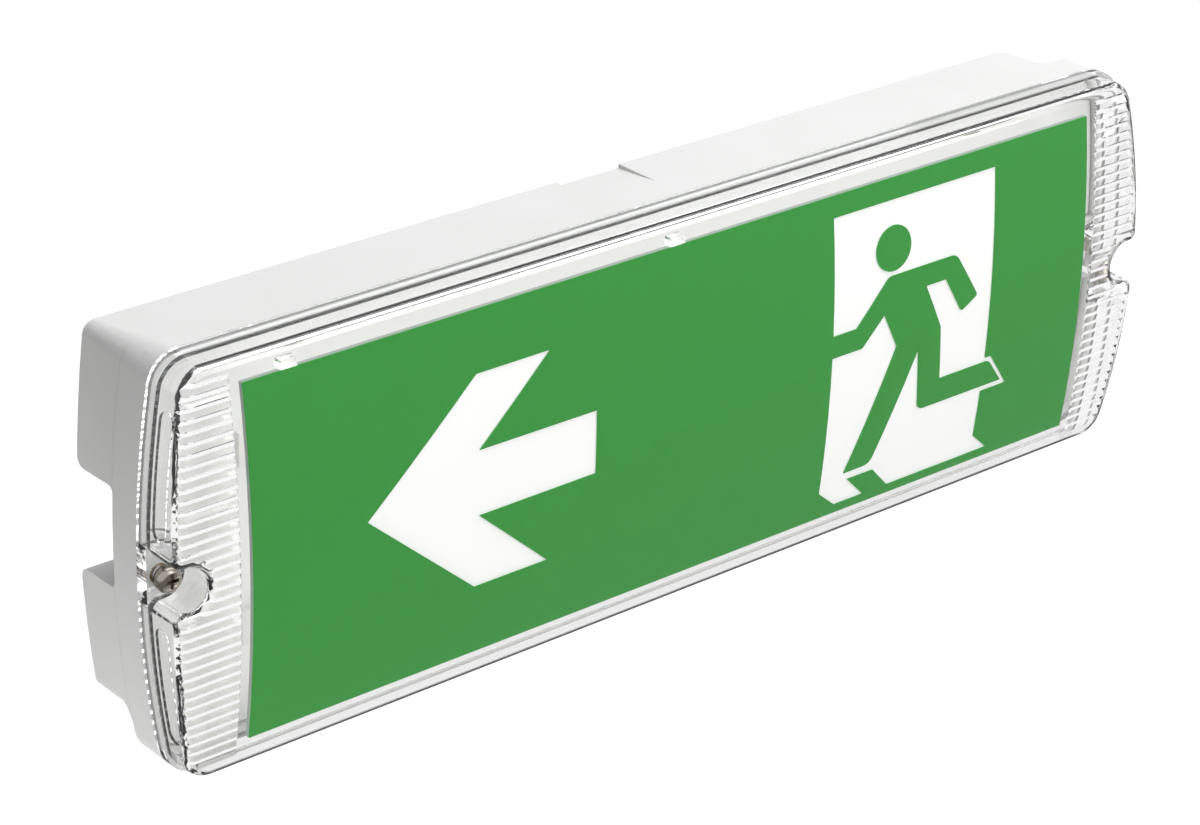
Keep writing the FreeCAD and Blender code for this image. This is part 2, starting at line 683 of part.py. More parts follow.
def pocket(body, name, corners, lift, depth):
    """Pocket with a straight-sided outline, sunk from a distance in front of the body's origin."""
    sketch = body_sketch(body, name + "_outline", "XZ_Plane", lift)
    polygon(sketch, corners)
    feature = body.newObject("PartDesign::Pocket", name)
    feature.Profile = sketch
    bind(feature, Length=depth)
    return feature


def soften(body, name, radius, chosen):
    """Fillet a body's edges for which chosen(edge) holds."""
    doc.recompute()
    base = body.Tip
    edges = [f"Edge{number}" for number, edge in enumerate(base.Shape.Edges, start=1) if chosen(edge)]
    if not edges:
        raise RuntimeError(f"{name}: no edge to round")
    fillet = body.newObject("PartDesign::Fillet", name)
    fillet.Base = (base, edges)
    bind(fillet, Radius=radius)
    return fillet


def round_at(forward):
    """Chooser of the full-circle edges at a distance in front of a body's origin."""
    reach = size(forward)
    return lambda edge: len(edge.Vertexes) == 1 and all(abs(d - reach) < 0.01 for d in edge_depths(edge))


# ---- seal and cover -------------------------------------------------------------------------

def make_gasket():
    """Soft cord in the bottom of the housing's groove."""
    ring = rim_ring("gasket_ring", "seam_depth - groove_depth", "seam_depth - tongue_length",
                    "groove_inset + sign_gap", "groove_inset + groove_width - sign_gap")
    return add_part(ring, "seal_gasket")


def ribbed_band(name, left):
    """Lengthwise saw-tooth ribs on the inner face of the bowed front, at one end.

    The body's x axis lies on the bow's axis: one tooth is padded along it and repeated round it.
    """
    root = "(front_radius - cover_front)"
    count = "(floor(2 * rib_reach / rib_pitch) + 1)"
    turn = f"({count} - 1) * 180 * rib_pitch / (pi * {root})"
    body = new_body(name, x=left, y="front_radius - crest_depth")
    body.Placement.Rotation = FreeCAD.Rotation(FreeCAD.Vector(1, 0, 0), size(turn) / 2)
    body.setExpression(".Placement.Rotation.Angle", formula(f"{turn} / 2"))
    sketch = body_sketch(body, name + "_tooth", "YZ_Plane")
    half = "rib_pitch * 0.51"
    polygon(sketch, [(f"-{root} - cover_front / 2", f"-{half}"), (f"-{root}", f"-{half}"),
                     (f"-{root} + rib_height", "0"), (f"-{root}", half), (f"-{root} - cover_front / 2", half)])
    pad = body.newObject("PartDesign::Pad", name + "_pad")
    pad.Profile = sketch
    bind(pad, Length=f"{HALF_LENGTH} - rib_start")
    doc.recompute()
    row = body.newObject("PartDesign::PolarPattern", name + "_row")
    row.Originals = [pad]
    row.Axis = (sketch, ["N_Axis"])
    row.Mode = "Extent"
    row.Reversed = True
    bind(row, Occurrences=count, Angle=turn)
    body.Tip = row
    return body


def front_edge(edge):
    """Edges of the bowed front where it meets the cover's side walls."""
    crest, bow = size("crest_depth"), size("front_radius")
    spots = [edge.valueAt(edge.FirstParameter + share * (edge.LastParameter - edge.FirstParameter))
             for share in (0.0, 0.37, 1.0)]
    if all(abs(math.hypot(spot.y - (bow - crest), spot.z) - bow) < 0.01 for spot in spots):
        return size("cover_edge_radius"), size("cover_edge_radius")
    return None


def cover_dome():
    """Bowed front and side walls, turned in round the screws."""
    walls = rim_solid("dome_walls", True, "seam_depth", "crest_depth + 1", "cover_step")
    return rounded("dome_rounded", common("dome", walls, bow_cylinder("dome_bow", "0")), front_edge)


def cover_core():
    """Space inside the cover, with the ribs left standing."""
    walls = rim_solid("core_walls", True, "seam_depth - 1", "crest_depth + 1", "cover_step + cover_wall")
    space = common("core", walls, bow_cylinder("core_bow", "cover_front"))
    bands = [ribbed_band("ribs_left", f"-{HALF_LENGTH}"), ribbed_band("ribs_right", "rib_start")]
    return cut("core_ribbed", space, fuse("ribs", bands))


def end_pocket(name, side, level):
    """Long pocket with round ends in the outer face of an end wall."""
    low, high = ("window_start", "window_end") if level > 0 else ("-window_end", "-window_start")
    half = "window_height / 2"
    depth = f"window_back + {half}"
    start = f"{side} * ({HALF_LENGTH} - 5) - 15"
    straight = block(name + "_middle", start, f"{start} + 30", "window_back", "window_back + window_height",
                     f"{low} + {half}", f"{high} - {half}")
    ends = []
    for place, z in (("low", f"{low} + {half}"), ("high", f"{high} - {half}")):
        end = doc.addObject("Part::Cylinder", f"{name}_{place}")
        end.Placement.Rotation = ALONG_X
        bind(end, Radius=half, Height="30", x=start, y=f"-({depth})", z=z)
        ends.append(end)
    return fuse(name, [straight, *ends])


def make_diffuser():
    """Clear cover: flat rim with a tongue, bowed front, screw ledges, end pockets, ribs and nibs."""
    rim = rim_solid("cover_rim", False, "seam_depth", "ledge_depth", None)
    tongue = rim_ring("cover_tongue", "seam_depth - tongue_length", "seam_depth + 0.5", "tongue_inset",
                      "tongue_inset + tongue_width")
    hollowed = cut("cover_hollowed", fuse("cover_mass", [cover_dome(), rim, tongue]), cover_core())
    removed, nibs = [], []
    for side, name in ((-1, "left"), (1, "right")):
        removed.append(rod(f"cover_screw_hole_{name}", f"{side} * {SCREW_X}", "0", "seam_depth - 1",
                           "ledge_depth + 1", "screw_hole_radius"))
        for level, place in ((-1, "low"), (1, "high")):
            removed.append(end_pocket(f"pocket_{name}_{place}", side, level))
    skin = rim_solid("pocket_floor", True, "seam_depth", "crest_depth", "cover_step + window_sink")
    pockets = cut("end_pockets", fuse("pockets", [item for item in removed if "pocket" in item.Name]), skin)
    holes = fuse("screw_holes", [item for item in removed if "hole" in item.Name])
    for place in range(int(size("nib_count"))):
        x = f"nib_first + {place} * nib_pitch"
        nibs.append(block(f"nib_{place}", f"{x} - nib_length / 2", f"{x} + nib_length / 2",
                          "crest_depth - cover_front - nib_reach", "crest_depth - cover_front - nib_sink",
                          "sign_height / 2 + sign_gap", "sign_height / 2 + nib_width"))
    whole = cut("cover_opened", hollowed, fuse("cover_openings", [pockets, holes]))
    return add_part(fuse("cover_finished", [whole, *nibs]), "diffuser")


# ---- legend ---------------------------------------------------------------------------------

ARROW = ((-118, 0, 0), (-81, 31.8, 0), (-55.5, 31.8, 0), (-80.5, 9.8, 0), (-39.5, 9.6, 0),
         (-39.5, -9.6, 0), (-80.5, -9.8, 0), (-55.5, -31.8, 0), (-81, -31.8, 0))
DOORWAY = ((49.5, 45, 0), (115.3, 45, 0), (114.2, -42.8, 0), (120.8, -48.6, 0), (56.8, -48.6, 0),
           (49.5, -42.6, 0))
HEEL = ((108, -15.9, 0), (117, -15.9, 1.5), (125, -27.2, 0), (108, -27.2, 0))
SHADOW = ((60.7, -41.1, 0), (71.2, -41.1, 0), (79.4, -49.5, 0), (69.4, -49.5, 0))
RUNNER = ((46, 8.9, 0), (58.9, 8.9, 0), (71.6, 21.8, 3), (99.2, 21.8, 3.5), (108.8, 6.6, 1),
          (102.2, 2.9, 1), (95.1, 15, 0), (86.9, 15, 0), (93.8, 0.3, 0), (95.2, -17.3, 0),
          (116.3, -17.3, 2.5), (122.4, -25.5, 0), (87, -25.5, 2.5), (85, -4.8, 0), (69.2, -38.4, 3.5),
          (58.8, -38.5, 0), (75.8, -1.3, 0), (70, 10.3, 0), (61.4, 2, 1.2), (46, 2, 0))
HEAD = (73.2, 30.2, 7.0)
ARROW_RISE = 2.0


def sign_shape(name, corners, rise=0.0):
    """Prism through the cover's depth with one of the pictogram's outlines, scaled to the sign."""
    scale = "sign_height / 103"
    sketch = doc.addObject("Sketcher::SketchObject", name + "_outline")
    sketch.Placement.Rotation = FACING_OUT
    bind(sketch, y="-seam_depth")
    polygon(sketch, [(f"{x} * {scale}", f"{z + rise} * {scale}") for x, z, radius in corners])
    prism = extrude(name, sketch, "crest_depth - seam_depth")
    round_ones = [(x, z + rise, radius) for x, z, radius in corners if radius]
    if not round_ones:
        return prism
    grown = size(scale)

    def chosen(edge):
        spot = edge.valueAt(edge.FirstParameter)
        if abs(edge.valueAt(edge.LastParameter).y - spot.y) < 1:
            return None
        for x, z, radius in round_ones:
            if math.hypot(spot.x - x * grown, spot.z - z * grown) < 0.05:
                return radius * grown, radius * grown
        return None

    return rounded(name + "_rounded", prism, chosen)


def bowed_sheet(name, behind, thickness):
    """Sheet bent to the cover's bow, as large as the sign."""
    shell = cut(name + "_shell", bow_cylinder(name + "_front", behind),
                bow_cylinder(name + "_back", f"{behind} + {thickness}"))
    return common(name, shell, block(name + "_size", "-sign_length / 2", "sign_length / 2", "seam_depth",
                                     "crest_depth", "-sign_height / 2", "sign_height / 2"))


def make_legend():
    """Opal sheet, and in front of it the green film with the arrow and the doorway cut out."""
    film_behind = "cover_front + sign_gap"
    opal = bowed_sheet("opal", f"{film_behind} + film_thickness + sign_gap", "sheet_thickness")
    film = bowed_sheet("film", film_behind, "film_thickness")
    head = rod("runner_head", f"{HEAD[0]} * sign_height / 103", f"{HEAD[1]} * sign_height / 103", "seam_depth",
               "crest_depth", f"{HEAD[2]} * sign_height / 103")
    runner = fuse("runner", [sign_shape("runner_body", RUNNER), sign_shape("runner_shadow", SHADOW), head])
    doorway = fuse("doorway", [sign_shape("door", DOORWAY), sign_shape("door_heel", HEEL)])
    open_parts = fuse("film_openings", [sign_shape("arrow", ARROW, ARROW_RISE),
                                        cut("doorway_seen", doorway, runner)])
    add_part(opal, "legend_sheet")
    return add_part(cut("film_cut", film, open_parts), "legend_film")


# ---- fasteners ------------------------------------------------------------------------------

def cross(length, width):
    """Corners of a plus-shaped driver recess."""
    a, b = f"({length}) / 2", f"({width}) / 2"
    return [(b, b), (a, b), (a, f"-({b})"), (b, f"-({b})"), (b, f"-({a})"), (f"-({b})", f"-({a})"),
            (f"-({b})", f"-({b})"), (f"-({a})", f"-({b})"), (f"-({a})", b), (f"-({b})", b),
            (f"-({b})", a), (b, a)]


def pan_screw(name, head_radius, head_height, shank_radius, length, **place):
    """Pan-head screw with a cross recess and a pointed end; its place is under the head."""
    body = turned(name, [("0", head_height), (head_radius, head_height), (head_radius, "0"),
                         (shank_radius, "0"), (shank_radius, f"-({length}) + {shank_radius}"),
                         (f"{shank_radius} / 2", f"-({length})"), ("0", f"-({length})")], **place)
    soften(body, name + "_rounding", f"({head_height}) * 0.55", round_at(head_height))
    pocket(body, name + "_recess", cross(f"{head_radius} * 1.15", f"{head_radius} * 0.26"), head_height,
           f"({head_height}) * 0.6")
    return body


def washer(name, radius, bore, thickness, **place):
    """Flat ring; its place is on its back face."""
    return turned(name, [(bore, "0"), (radius, "0"), (radius, thickness), (bore, thickness)], **place)


def make_cover_screws():
    """Captive screws, their washers and the brass inserts that take them."""
    washers, inserts = [], []
    for side, name in ((-1, "left"), (1, "right")):
        x = f"{side} * {SCREW_X}"
        screw = pan_screw(f"cover_screw_{name}", "screw_head_radius", "screw_head_height", "screw_radius",
                          "screw_length", x=x, y="-(ledge_depth + seal_washer_thickness)")
        add_part(screw, f"cover_screw_{name}")
        washers.append(washer(f"screw_seal_{name}", "seal_washer_radius", "screw_hole_radius",
                              "seal_washer_thickness", x=x, y="-ledge_depth"))
        bore, body = "screw_radius + fit_gap", "insert_radius"
        inserts.append(turned(f"insert_{name}", [
            (bore, "0"), (body, "0"), (body, "insert_length * 0.4"), (f"{body} - 0.3", "insert_length * 0.4"),
            (f"{body} - 0.3", "insert_length * 0.6"), (body, "insert_length * 0.6"), (body, "insert_length"),
            (bore, "insert_length")], x=x, y="-(insert_depth - insert_length)"))
    add_part(group("screw_seal_pair", washers), "screw_seals")
    add_part(group("insert_pair", inserts), "threaded_inserts")


def screws_at(label, spots, head_radius, head_height, shank_radius, length, seat):
    """Like screws at several places, kept as one sub-part."""
    screws = [pan_screw(f"{label}_{number}", head_radius, head_height, shank_radius, length, x=x,
                        y=f"-({seat})", z=z) for number, (x, z) in enumerate(spots, start=1)]
    return add_part(group(label + "_set", screws), label)


def corners_of(x, z, middle="0"):
    """Four places round a middle height."""
    return [(f"{a} * ({x})", f"{middle} + {b} * ({z})") for a in (-1, 1) for b in (-1, 1)]


# ---- gear tray and lights -------------------------------------------------------------------

def make_tray():
    """White tray with a turned lip, holes for its screws, the rivets, the button and the indicator."""
    floor = rim_solid("tray_floor", True, "tray_depth", "tray_depth + tray_thickness", "rim_width + tray_gap")
    lip = rim_ring("tray_edge", "tray_depth - tray_lip", "tray_depth + 0.5", "rim_width + tray_gap",
                   "rim_width + tray_gap + tray_thickness * 0.75")
    holes = [(x, z, "tray_screw_radius + 0.25") for x, z in corners_of("post_x", "post_z")]
    holes += [(x, z, "rivet_radius + fit_gap") for x, z in corners_of("rivet_x", "strip_z")]
    holes += [("button_x", "button_z", "button_radius + fit_gap"),
              ("button_x", "pilot_z", "pilot_radius + 0.1")]
    drills = [rod(f"tray_hole_{number}", x, z, "tray_depth - 1", "tray_depth + tray_thickness + 1", radius)
              for number, (x, z, radius) in enumerate(holes)]
    add_part(cut("tray_drilled", fuse("tray_blank", [floor, lip]), fuse("tray_holes", drills)), "gear_tray")
    screws_at("tray_screws", corners_of("post_x", "post_z"), "tray_screw_radius * 1.9",
              "tray_screw_radius * 1.3", "tray_screw_radius", "tray_screw_length", "tray_depth + tray_thickness")


def make_lights():
    """Two light strips with their chips and rivets."""
    face = "tray_depth + tray_thickness"
    chips, rivets = [], []
    for side, name in ((1, "upper"), (-1, "lower")):
        ends = [("rivet_x", "0", "rivet_radius + fit_gap"), ("-rivet_x", "0", "rivet_radius + fit_gap")]
        add_part(plate(f"led_board_{name}", "strip_length", "strip_width", "strip_thickness", ends,
                       y=f"-({face})", z=f"{side} * strip_z"), f"led_board_{name}")
        row = plate(f"led_chip_{name}", "led_length", "led_width", "led_height",
                    x="-led_pitch * (led_count - 1) / 2", y=f"-({face} + strip_thickness)",
                    z=f"{side} * strip_z")
        doc.recompute()
        chip = row.Tip
        repeat = row.newObject("PartDesign::LinearPattern", f"led_row_{name}")
        repeat.Originals = [chip]
        repeat.Direction = (row.Group[0], ["H_Axis"])
        repeat.Mode = "Extent"
        bind(repeat, Occurrences="led_count", Length="led_pitch * (led_count - 1)")
        row.Tip = repeat
        row.AllowCompound = True
        chips.append(row)
        for x in ("-rivet_x", "rivet_x"):
            rivets.append(turned(f"rivet_{name}_{len(rivets)}", [
                ("0", "strip_thickness + 0.8"), ("rivet_radius + 0.8", "strip_thickness + 0.8"),
                ("rivet_radius + 1.1", "strip_thickness"), ("rivet_radius", "strip_thickness"),
                ("rivet_radius", "-tray_thickness"), ("rivet_radius + 0.6", "-tray_thickness"),
                ("rivet_radius + 0.4", "-tray_thickness - 0.8"), ("0", "-tray_thickness - 0.8")],
                x=x, y=f"-({face})", z=f"{side} * strip_z"))
    add_part(group("led_chips", chips), "leds")
    add_part(group("rivet_set", rivets), "board_rivets")


# ---- gear behind the tray -------------------------------------------------------------------

def make_battery():
    """Stick of cells in one sleeve, held by two spring clips on the housing floor."""
    cells = int(size("cell_count"))
    corners = [("0", "0"), ("0", "cell_radius - 0.8"), ("0.8", "cell_radius")]
    for joint in range(1, cells):
        at = f"{joint} * cell_length"
        corners += [(f"{at} - 0.8", "cell_radius"), (at, "cell_radius - 0.5"), (f"{at} + 0.8", "cell_radius")]
    end = "cell_count * cell_length"
    corners += [(f"{end} - 0.8", "cell_radius"), (end, "cell_radius - 0.8"), (end, "cell_radius * 0.4"),
                (f"{end} + 1", "cell_radius * 0.4"), (f"{end} + 1", "0")]
    add_part(turned("battery", corners, along_x=True, x=f"-({end}) / 2", y="-battery_depth", z="battery_z"),
             "battery_pack")
    clips = []
    for side, name in ((-1, "left"), (1, "right")):
        left, right = f"{side} * clip_x - clip_width / 2", f"{side} * clip_x + clip_width / 2"
        rings = []
        for kind, radius in (("outer", "cell_radius + fit_gap + clip_thickness"),
                             ("inner", "cell_radius + fit_gap")):
            ring = doc.addObject("Part::Cylinder", f"clip_{kind}_{name}")
            ring.Placement.Rotation = ALONG_X
            bind(ring, Radius=radius, Height="clip_width", x=left, y="-battery_depth", z="battery_z")
            rings.append(ring)
        foot = block(f"clip_foot_{name}", left, right, "wall", "battery_depth - cell_radius / 2",
                     "battery_z - cell_radius / 2", "battery_z + cell_radius / 2")
        mouth = block(f"clip_mouth_{name}", f"{left} - 1", f"{right} + 1",
                      "battery_depth + cell_radius * 0.45", "battery_depth + cell_radius * 2",
                      "battery_z - cell_radius * 2", "battery_z + cell_radius * 2")
        solid = fuse(f"clip_solid_{name}", [rings[0], foot])
        clips.append(cut(f"clip_{name}", solid, fuse(f"clip_space_{name}", [rings[1], mouth])))
    add_part(group("clip_pair", clips), "battery_clips")


BOARD_FACE = "board_depth + board_thickness"


def make_board():
    """Control board and the pieces that stand on it."""
    inset_x, inset_z = "board_length / 2 - board_hole_inset", "board_width / 2 - board_hole_inset"
    add_part(plate("board", "board_length", "board_width", "board_thickness",
                   [(x, z, "board_screw_radius + 0.15") for x, z in corners_of(inset_x, inset_z)],
                   y="-board_depth", z="board_z"), "control_board")
    screws_at("board_screws", corners_of(inset_x, inset_z, "board_z"), "board_screw_radius * 1.9",
              "board_screw_radius * 1.3", "board_screw_radius", "board_depth + board_thickness - wall - 1",
              BOARD_FACE)
    core = plate("core_stack", "part_pitch * 2", "part_pitch * 1.5", "part_pitch", x="-part_pitch * 3.4",
                 y=f"-({BOARD_FACE})", z="board_z")
    side, end = "part_pitch * 0.7", "part_pitch * 2"
    pocket(core, "core_window", [(f"-{side}", f"-{end}"), (side, f"-{end}"), (side, end), (f"-{side}", end)],
           "part_pitch * 0.75", "part_pitch * 0.5")
    add_part(core, "transformer_core")
    winding = plate("winding", "part_pitch * 1.4 - 0.1", "part_pitch * 1.9", "part_pitch * 0.5 - 0.1",
                    x="-part_pitch * 3.4", y=f"-({BOARD_FACE} + part_pitch * 0.25 + 0.05)", z="board_z")
    soften(winding, "winding_rounding", "part_pitch * 0.1",
           lambda edge: abs(
        edge.valueAt(edge.FirstParameter).x - edge.valueAt(edge.LastParameter).x) > size("part_pitch") / 2)
    add_part(winding, "transformer_winding")
    cans = [turned(f"capacitor_{number}", [
        ("0", "0"), (f"{radius} - 0.3", "0"), (radius, "0.4"), (radius, "1.2"), (f"{radius} - 0.4", "1.7"),
        (radius, "2.2"), (radius, f"{height} - 0.4"), (f"{radius} - 0.4", height), ("0", height)],
        x=x, y=f"-({BOARD_FACE})", z=z) for number, (x, z, radius, height) in enumerate((
            ("-part_pitch * 1.3", "board_z + part_pitch * 0.8", "part_pitch * 0.42", "part_pitch * 1.15"),
            ("-part_pitch * 1.3", "board_z - part_pitch * 0.9", "part_pitch * 0.42", "part_pitch * 1.15"),
            ("part_pitch * 0.2", "board_z - part_pitch * 1.2", "part_pitch * 0.26", "part_pitch * 0.9")),
            start=1)]
    add_part(group("capacitor_set", cans), "capacitors")
    film = plate("film_block", "part_pitch * 1.3", "part_pitch * 0.55", "part_pitch", x="part_pitch * 1.9",
                 y=f"-({BOARD_FACE})", z="board_z - part_pitch * 1.2")
    soften(film, "film_block_rounding", "part_pitch * 0.06", lambda edge: abs(
        edge_depths(edge)[0] - edge_depths(edge)[1]) > size("part_pitch") / 2)
    add_part(film, "film_capacitor")
    chip = plate("chip", "part_pitch * 0.9", "part_pitch * 0.6", "part_pitch * 0.16", x="part_pitch * 1.2",
                 y=f"-({BOARD_FACE})", z="board_z + part_pitch * 0.4")
    add_part(chip, "control_chip")
    sockets = []
    for number, x in enumerate(("-part_pitch * 3.6", "part_pitch * 0.1", "part_pitch * 2.4"), start=1):
        socket = plate(f"socket_{number}", "part_pitch", "part_pitch * 0.5", "part_pitch * 0.75", x=x,
                       y=f"-({BOARD_FACE})", z="board_z + board_width / 2 - part_pitch * 0.45")
        pocket(socket, f"socket_mouth_{number}", [
            ("-part_pitch * 0.4", "-part_pitch * 0.17"), ("part_pitch * 0.4", "-part_pitch * 0.17"),
            ("part_pitch * 0.4", "part_pitch * 0.17"), ("-part_pitch * 0.4", "part_pitch * 0.17")],
            "part_pitch * 0.75", "part_pitch * 0.55")
        sockets.append(socket)
    add_part(group("socket_set", sockets), "board_connectors")


def make_terminals():
    """Three-pole terminal block on the housing floor, with two screws for each pole."""
    wide, tall, high = "3 * pole_pitch", "pole_pitch * 1.7", "pole_pitch * 1.2"
    place = {"x": "terminal_x", "y": "-wall", "z": "terminal_z"}
    wells = [(f"{column} * pole_pitch", f"{row} * pole_pitch * 0.5", "pole_pitch * 0.24")
             for column in (-1, 0, 1) for row in (-1, 1)]
    block_body = plate("terminals", wide, tall, high, **place)
    sketch = body_sketch(block_body, "terminal_wells_outline", "XZ_Plane", high)
    for x, z, radius in wells:
        hole(sketch, x, z, radius)
    feature = block_body.newObject("PartDesign::Pocket", "terminal_wells")
    feature.Profile = sketch
    bind(feature, Length="pole_pitch * 0.7")
    for column in (-0.5, 0.5):
        pocket(block_body, f"terminal_slot_{'low' if column < 0 else 'high'}", [
            (f"{column} * pole_pitch * 2 - 0.5 * pole_pitch * {2 * column} - 0.6", f"-({tall})"),
            (f"{column} * pole_pitch * 2 - 0.5 * pole_pitch * {2 * column} + 0.6", f"-({tall})"),
            (f"{column} * pole_pitch * 2 - 0.5 * pole_pitch * {2 * column} + 0.6", tall),
            (f"{column} * pole_pitch * 2 - 0.5 * pole_pitch * {2 * column} - 0.6", tall)],
            high, "pole_pitch * 0.35")
    add_part(block_body, "terminal_block")
    bottom = "pole_pitch * 0.5"
    radius = "pole_pitch * 0.24 - 0.15"
    screws = []
    for number, (x, z, _) in enumerate(wells, start=1):
        screw = turned(f"terminal_screw_{number}", [
            ("0", "0"), (radius, "0"), (radius, "pole_pitch * 0.25"), ("0", "pole_pitch * 0.25")],
            x=f"terminal_x + {x}", y=f"-(wall + {bottom})", z=f"terminal_z + {z}")
        pocket(screw, f"terminal_screw_slot_{number}", [
            (f"-({radius}) * 2", "-0.35"), (f"({radius}) * 2", "-0.35"), (f"({radius}) * 2", "0.35"),
            (f"-({radius}) * 2", "0.35")], "pole_pitch * 0.25", "0.9")
        screws.append(screw)
    add_part(group("terminal_screw_set", screws), "terminal_screws")


def make_button():
    """Test button held behind the tray, its switch on the board, and the charge indicator."""
    back = "tray_depth"
    switch_top = f"{BOARD_FACE} + switch_height"
    stem, tip = "button_radius / 2", f"({switch_top}) - switch_height / 2"
    button = turned("button", [
        ("0", "tray_thickness + button_travel + 1"), ("button_radius", "tray_thickness + button_travel + 1"),
        ("button_radius", "0"), ("button_radius * 1.5", "0"), ("button_radius * 1.5", "-1.4"), (stem, "-1.4"),
        (stem, f"{tip} - {back}"), ("0", f"{tip} - {back}")], x="button_x", y=f"-({back})", z="button_z")
    soften(button, "button_rounding", "button_radius * 0.15", round_at("tray_thickness + button_travel + 1"))
    add_part(button, "test_button")
    switch = plate("switch", "button_radius * 4", "button_radius * 4", "switch_height", x="button_x",
                   y=f"-({BOARD_FACE})", z="button_z")
    sketch = body_sketch(switch, "switch_bore_outline", "XZ_Plane", "switch_height")
    hole(sketch, "0", "0", f"{stem} + fit_gap")
    feature = switch.newObject("PartDesign::Pocket", "switch_bore")
    feature.Profile = sketch
    bind(feature, Length="switch_height / 2 + button_travel + 0.3")
    add_part(switch, "test_switch")
    reach = f"tray_depth + tray_thickness + 1 - ({BOARD_FACE})"
    guide = turned("light_guide", [
        ("0", "0"), ("pilot_radius * 1.6", "0"), ("pilot_radius * 1.6", "2"), ("pilot_radius", "2"),
        ("pilot_radius", reach), ("0", reach)], x="button_x", y=f"-({BOARD_FACE})", z="pilot_z")
    soften(guide, "light_guide_rounding", "pilot_radius * 0.7", round_at(reach))
    add_part(guide, "charge_indicator")


# ---- cable entries and wall fixings ---------------------------------------------------------

def make_entries():
    """Rubber grommet in the back and a blanking plug in the end of the cable recess."""
    lip, flange = "entry_radius + grommet_lip", "entry_radius + grommet_flange"
    inner = "entry_boss_depth + grommet_cap"
    add_part(turned("grommet", [
        ("cable_radius", "0"), (flange, "0"), (flange, "entry_seat - fit_gap"),
        ("entry_radius - fit_gap", "entry_seat - fit_gap"), ("entry_radius - fit_gap", "entry_boss_depth"),
        (lip, "entry_boss_depth"), (f"{lip} - 0.5", inner), ("cable_radius", inner)], x="entry_x", z="entry_z"),
        "rear_entry_grommet")
    inner = f"-{HALF_LENGTH} + recess_length"
    add_part(turned("plug", [
        ("-1.4", "0"), ("-1.4", "plug_radius + 0.6"), ("-1", "plug_radius + 1"), ("0", "plug_radius + 1"),
        ("0", "plug_radius - fit_gap"), ("wall", "plug_radius - fit_gap"), ("wall", "plug_radius + 0.7"),
        ("wall + 1.6", "plug_radius - 0.2"), ("wall + 1.6", "0")], along_x=True, x=inner, y="-plug_depth",
        z="(recess_top + recess_bottom) / 2"), "side_entry_plug")


def make_fixing_washers():
    """Washers on the four wall fixing bosses."""
    rings = [washer(f"fixing_washer_{number}", "washer_radius", "fixing_radius", "washer_thickness", x=x,
                    y="-fixing_boss_depth", z=z)
             for number, (x, z) in enumerate(corners_of("fixing_x / 2", "fixing_z / 2"), start=1)]
    return add_part(group("washer_set", rings), "fixing_washers")


# ---- build and export -----------------------------------------------------------------------

def check_document():
    """Stop when any object failed or any sub-part has no sound solid."""
    for item in doc.Objects:
        if {"Invalid", "Error"} & set(item.State):
            raise RuntimeError(f"{item.Name}: {item.State}")
    for part in parts:
        if part.Shape.isNull() or not part.Shape.isValid() or not part.Shape.Solids:
            raise RuntimeError(f"{part.Label}: no sound solid")


fill_sheet()
make_housing()
make_gasket()
make_diffuser()
make_legend()
make_cover_screws()
make_tray()
make_lights()
make_battery()
make_board()
make_terminals()
make_button()
make_entries()
make_fixing_washers()
doc.recompute()
check_document()
os.makedirs("parts", exist_ok=True)
for part in parts:
    part.Shape.exportStep(f"parts/{part.Label}.step")
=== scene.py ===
"""Studio scene of the weatherproof exit light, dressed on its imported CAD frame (metres)."""
import json
import math

import bmesh
import bpy
from mathutils import Matrix, Vector

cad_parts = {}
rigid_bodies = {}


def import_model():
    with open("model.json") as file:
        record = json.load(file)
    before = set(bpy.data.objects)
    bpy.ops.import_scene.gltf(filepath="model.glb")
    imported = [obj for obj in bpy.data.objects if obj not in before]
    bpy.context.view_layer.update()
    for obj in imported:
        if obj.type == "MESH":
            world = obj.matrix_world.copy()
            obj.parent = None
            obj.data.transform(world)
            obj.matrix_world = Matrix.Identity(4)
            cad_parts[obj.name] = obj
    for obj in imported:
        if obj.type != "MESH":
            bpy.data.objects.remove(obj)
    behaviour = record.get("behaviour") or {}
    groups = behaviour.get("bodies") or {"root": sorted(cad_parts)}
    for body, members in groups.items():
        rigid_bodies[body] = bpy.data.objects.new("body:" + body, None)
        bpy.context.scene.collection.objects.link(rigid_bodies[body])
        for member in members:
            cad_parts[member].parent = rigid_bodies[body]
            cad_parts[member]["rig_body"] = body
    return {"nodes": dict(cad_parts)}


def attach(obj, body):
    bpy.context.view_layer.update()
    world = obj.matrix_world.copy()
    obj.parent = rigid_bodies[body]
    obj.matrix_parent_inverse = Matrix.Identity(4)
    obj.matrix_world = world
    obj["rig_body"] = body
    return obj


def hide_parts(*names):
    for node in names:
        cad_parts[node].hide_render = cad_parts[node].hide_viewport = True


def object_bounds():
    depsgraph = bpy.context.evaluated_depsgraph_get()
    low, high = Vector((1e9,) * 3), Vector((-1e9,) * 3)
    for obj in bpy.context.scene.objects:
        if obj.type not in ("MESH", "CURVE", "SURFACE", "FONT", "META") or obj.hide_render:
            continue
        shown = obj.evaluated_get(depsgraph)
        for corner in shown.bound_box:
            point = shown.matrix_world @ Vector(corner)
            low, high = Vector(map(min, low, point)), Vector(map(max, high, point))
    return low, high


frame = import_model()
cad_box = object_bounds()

# ---- Housing --------------------------------------------------------------------------------
# One moulding in light grey polycarbonate: front tray, stepped back box and cable recess.
# The tool is spark eroded, so the skin has a fine even grain and a soft, wide gloss.

MM = 0.001
HOUSING_GREY = "E4E5E4"
HOUSING_SHADE = "D9DAD8"
SPARK_GRAIN = 0.5 * MM
MERGE_DISTANCE = 0.002 * MM
PARTING_DEPTH, PARTING_END = 16 * MM, -172 * MM
PARTING_WIDTH, PARTING_HEIGHT = 0.5 * MM, 0.12 * MM


